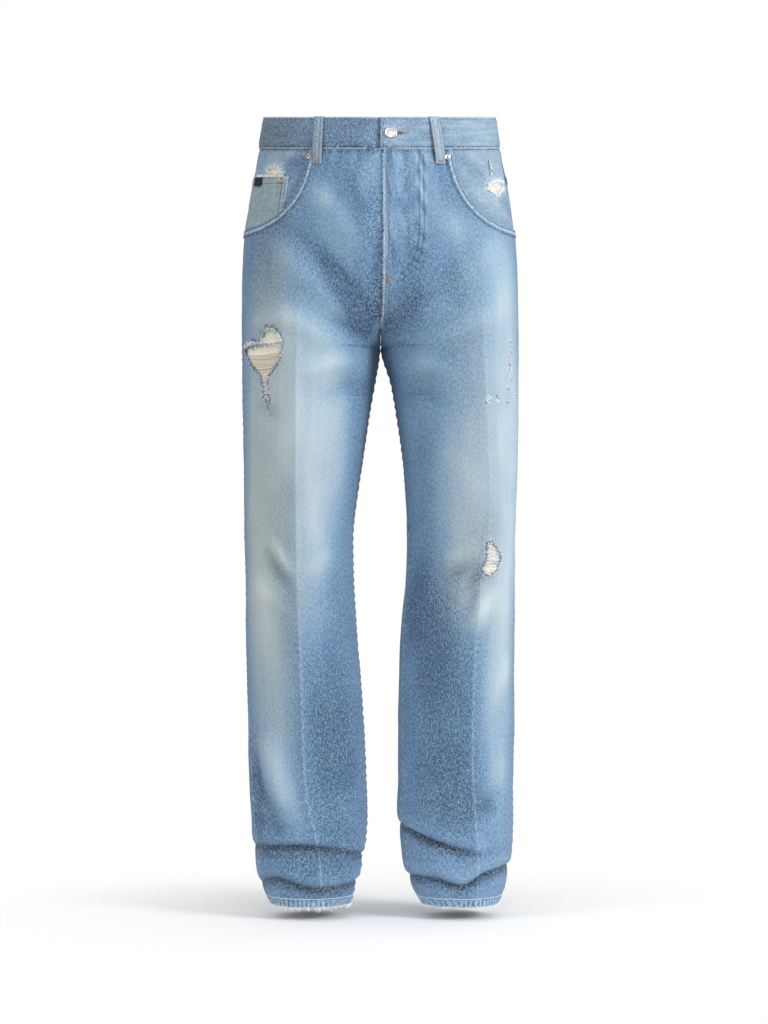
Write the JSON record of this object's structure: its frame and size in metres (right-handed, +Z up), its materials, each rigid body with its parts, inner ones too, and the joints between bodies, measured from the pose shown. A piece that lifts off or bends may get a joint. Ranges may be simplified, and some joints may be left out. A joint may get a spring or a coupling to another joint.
{
  "type": "ripped jeans",
  "caption": "Straight-leg five-pocket denim trousers, worn through in rips over one thigh and one knee, filled out as worn with open waist and hems.",
  "frame": {"origin": "middle of the waist: the centre of the waistband's loop, half way up the band", "axes": "+Z up the body, -Y the way the wearer faces, +X towards the wearer's left"},
  "size_m": [0.3739, 0.259, 1.0749],
  "materials": {
    "denim": "washed light-blue twill, faded over the thighs",
    "waistband_denim": "washed blue twill",
    "facing_denim": "washed blue-green twill",
    "rip_threads": "loose off-white cotton threads",
    "button_metal": "bright silver",
    "rivet_metal": "worn coppery silver",
    "black_tape": "plain black woven tape"
  },
  "bodies": {
    "root": {"front_right": "denim", "front_left": "denim", "back_right": "denim", "back_left": "denim", "yoke_right": "denim", "yoke_left": "denim", "hem_right": "denim", "hem_left": "denim", "back_pocket_right": "denim", "back_pocket_left": "denim", "waistband": "waistband_denim", "fly_shield": "waistband_denim", "pocket_facing_right": "facing_denim", "pocket_facing_left": "facing_denim", "coin_pocket": "facing_denim", "coin_pocket_tab": "black_tape", "thigh_rip_threads": "rip_threads", "knee_rip_threads": "rip_threads", "pocket_rip_threads_right": "rip_threads", "pocket_rip_threads_left": "rip_threads", "button": "button_metal", "rivet_right": "rivet_metal", "rivet_left": "rivet_metal", "rivet_coin_pocket": "rivet_metal", "belt_loop_front_right": "waistband_denim", "belt_loop_front_left": "waistband_denim", "belt_loop_back_right": "waistband_denim", "belt_loop_back_left": "waistband_denim", "belt_loop_back_middle": "waistband_denim"}
  },
  "joints": []
}
